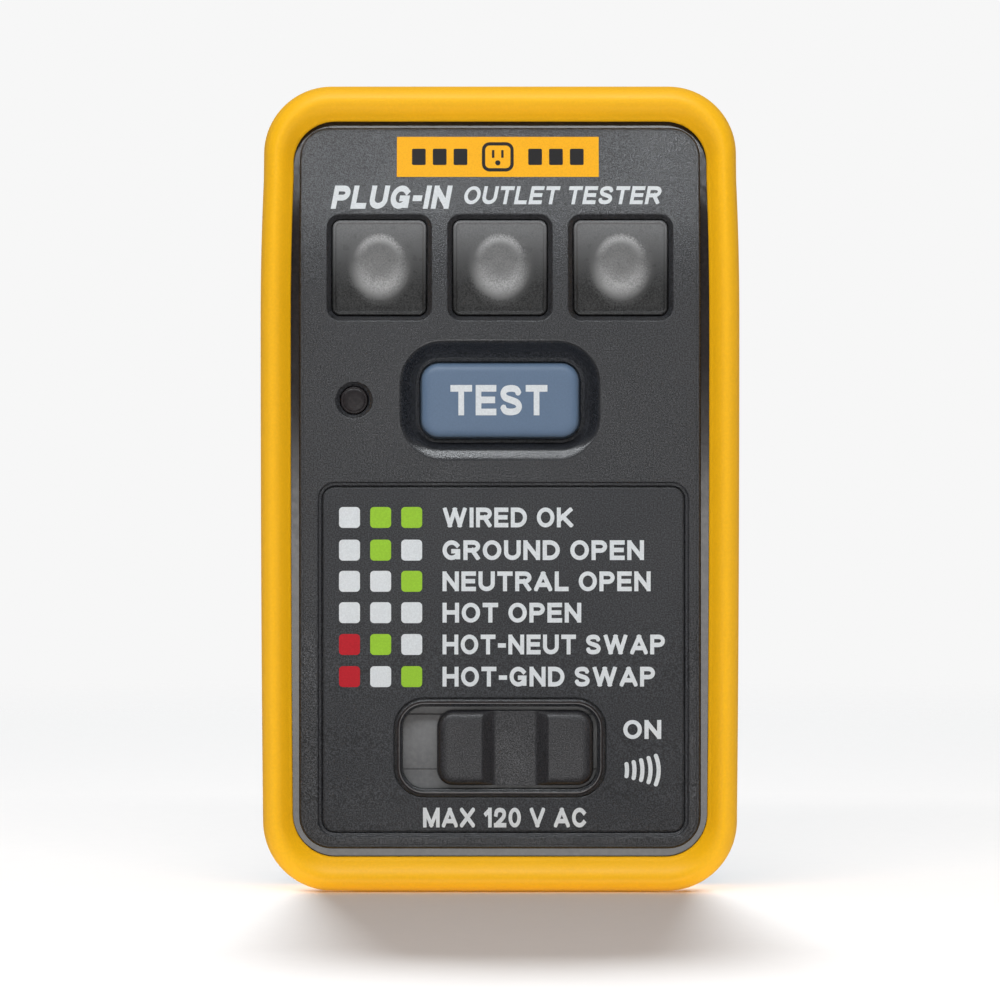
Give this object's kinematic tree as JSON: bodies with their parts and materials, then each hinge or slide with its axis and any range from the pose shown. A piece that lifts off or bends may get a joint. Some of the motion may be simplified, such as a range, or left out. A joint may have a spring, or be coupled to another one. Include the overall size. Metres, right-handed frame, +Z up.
{
  "type": "outlet tester plug",
  "caption": "Plug-in wall-outlet tester: boxy case with a soft rim, indicator windows, a push button, a slide switch and a printed legend.",
  "frame": {"origin": "midway between the two flat blades, on the flat back face of the case", "axes": "+Z up along the case's length with the windows at the top and the ground pin below the blades; +Y along the prongs, into the outlet; the face looks along -Y; +X to the right seen from the front"},
  "size_m": [0.0436, 0.0542, 0.0736],
  "materials": {
    "front_cover": "fine spark-eroded texture on the panel, smooth satin ledge round it",
    "bumper": "soft overmoulded elastomer, satin",
    "rear_housing": "fine spark-eroded texture",
    "legend": "fine matte film with printed rows",
    "window_lens": "smoky diffusing plastic with a lightly frosted face",
    "lamp": "water-clear epoxy",
    "indicator_lens": "dark polished plastic",
    "button": "satin blue-grey with pale printed letters",
    "slide_knob": "fine texture on the pads, smooth in the valley",
    "slide_shutter": "smooth satin",
    "black_plastic": "plain moulded",
    "switch_steel": "bright tinned",
    "circuit_board": "green solder mask",
    "capacitor_sleeve": "shrunk sleeve",
    "ceramic": "chalky cement",
    "resistor_lacquer": "lacquer",
    "insulator": "thermoset, plain",
    "prong_metal": "nickel-washed brass, fine drawn lines",
    "screw_steel": "nickel plate",
    "label": "blank silver-grey film"
  },
  "bodies": {
    "case": {"front_cover": "front_cover", "bumper": "bumper", "rear_housing": "rear_housing", "legend_plate": "legend", "window_lens_left": "window_lens", "window_lens_centre": "window_lens", "window_lens_right": "window_lens", "led_left": "lamp", "led_centre": "lamp", "led_right": "lamp", "light_baffle": "black_plastic", "indicator_lens": "indicator_lens", "indicator_led": "lamp", "tact_switch_base": "black_plastic", "slide_switch_body": "switch_steel", "main_board": "circuit_board", "buzzer": "black_plastic", "control_chip": "black_plastic", "filter_capacitor": "capacitor_sleeve", "test_load_resistor": "ceramic", "resistor_a": "resistor_lacquer", "resistor_b": "resistor_lacquer", "resistor_c": "resistor_lacquer", "diode": "black_plastic", "blade_carrier": "insulator", "hot_blade": "prong_metal", "neutral_blade": "prong_metal", "ground_pin": "prong_metal", "case_screw_1": "screw_steel", "case_screw_2": "screw_steel", "case_screw_3": "screw_steel", "case_screw_4": "screw_steel", "rating_label": "label"},
    "button": {"test_button": "button", "tact_plunger": "black_plastic"},
    "switch_slider": {"slide_knob": "slide_knob", "slide_shutter": "slide_shutter", "slide_actuator": "black_plastic"}
  },
  "joints": [
    {"name": "button_press", "type": "slide", "parent": "case", "child": "button", "axis": [0, 1, 0], "range_m": [0, 0.0008], "stiffness_N_per_m": 2500},
    {"name": "switch_slide", "type": "slide", "parent": "case", "child": "switch_slider", "axis": [1, 0, 0], "range_m": [-0.0027, 0]}
  ]
}
